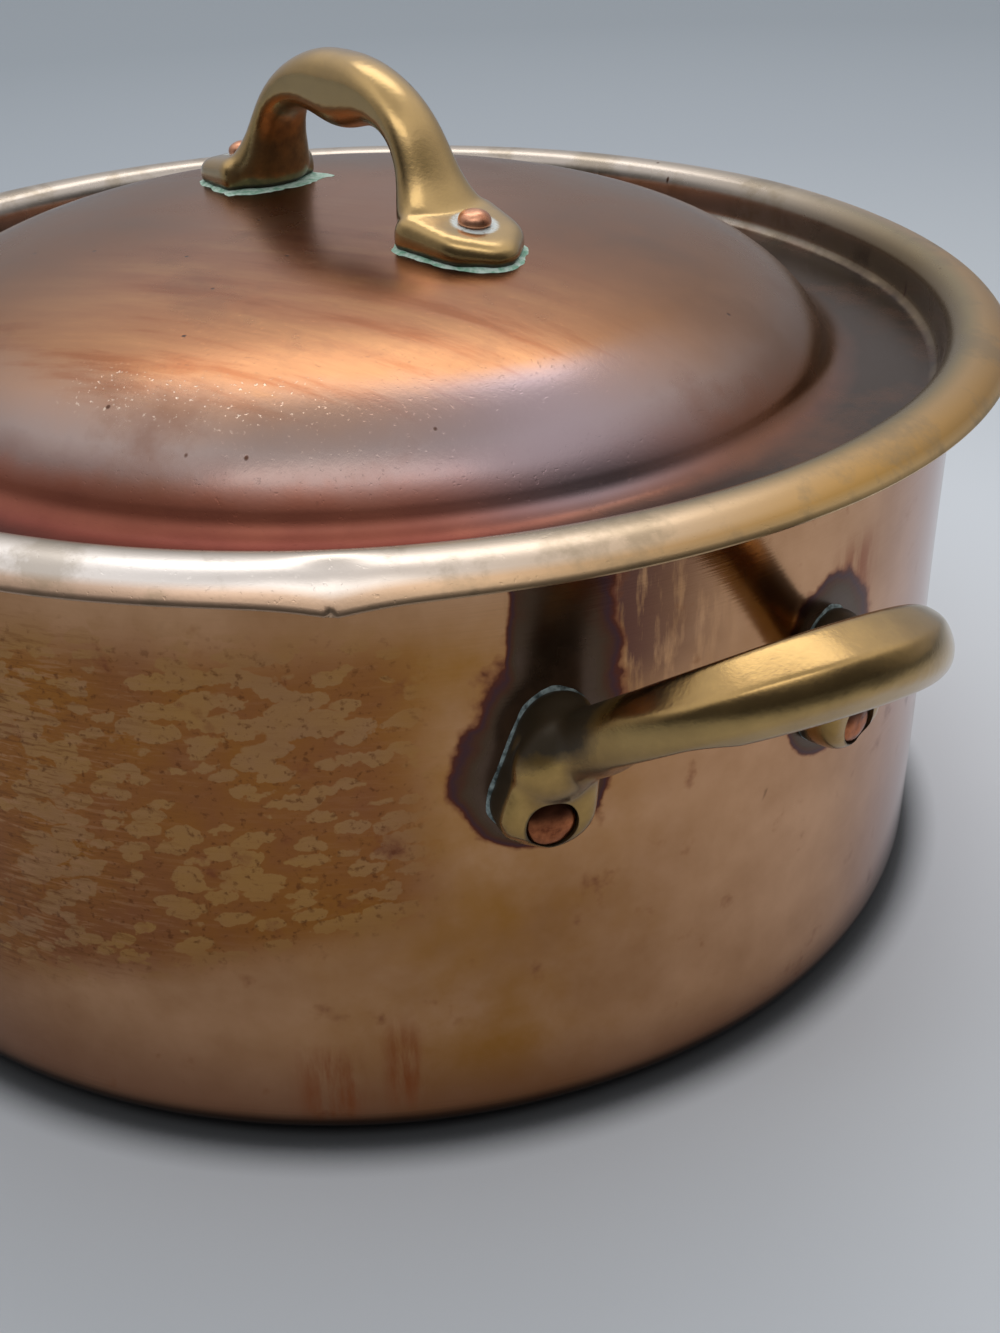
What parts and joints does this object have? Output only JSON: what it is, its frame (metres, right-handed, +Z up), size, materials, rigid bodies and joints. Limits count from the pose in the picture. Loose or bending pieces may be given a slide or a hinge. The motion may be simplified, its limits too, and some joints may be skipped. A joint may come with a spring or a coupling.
{
  "type": "copper stewpot with lid",
  "caption": "Round tin-lined copper stewpot with a nesting domed lid, riveted cast brass side handles and a brass bridge handle on the lid.",
  "frame": {"origin": "middle of the underside of the base, on the surface the pot stands on", "axes": "+Z up along the pot's axis; +X out through the side handle that the picture shows; +Y to the left of someone who looks out along +X"},
  "size_m": [0.315, 0.2594, 0.1625],
  "materials": {
    "copper": "tarnished polished copper, lined with dull tin inside",
    "brass": "satin cast brass with a little verdigris",
    "rivet_copper": "hammered copper"
  },
  "bodies": {
    "pot": {"pot_body": "copper", "side_handle_right": "brass", "side_handle_left": "brass", "rivet_right_back": "rivet_copper", "rivet_right_front": "rivet_copper", "rivet_left_front": "rivet_copper", "rivet_left_back": "rivet_copper"},
    "lid": {"lid_shell": "copper", "lid_handle": "brass", "rivet_lid_right": "rivet_copper", "rivet_lid_left": "rivet_copper"}
  },
  "joints": [
    {"name": "lid_lift", "type": "slide", "parent": "pot", "child": "lid", "axis": [0, 0, 1], "range_m": [0, 0.15]}
  ]
}
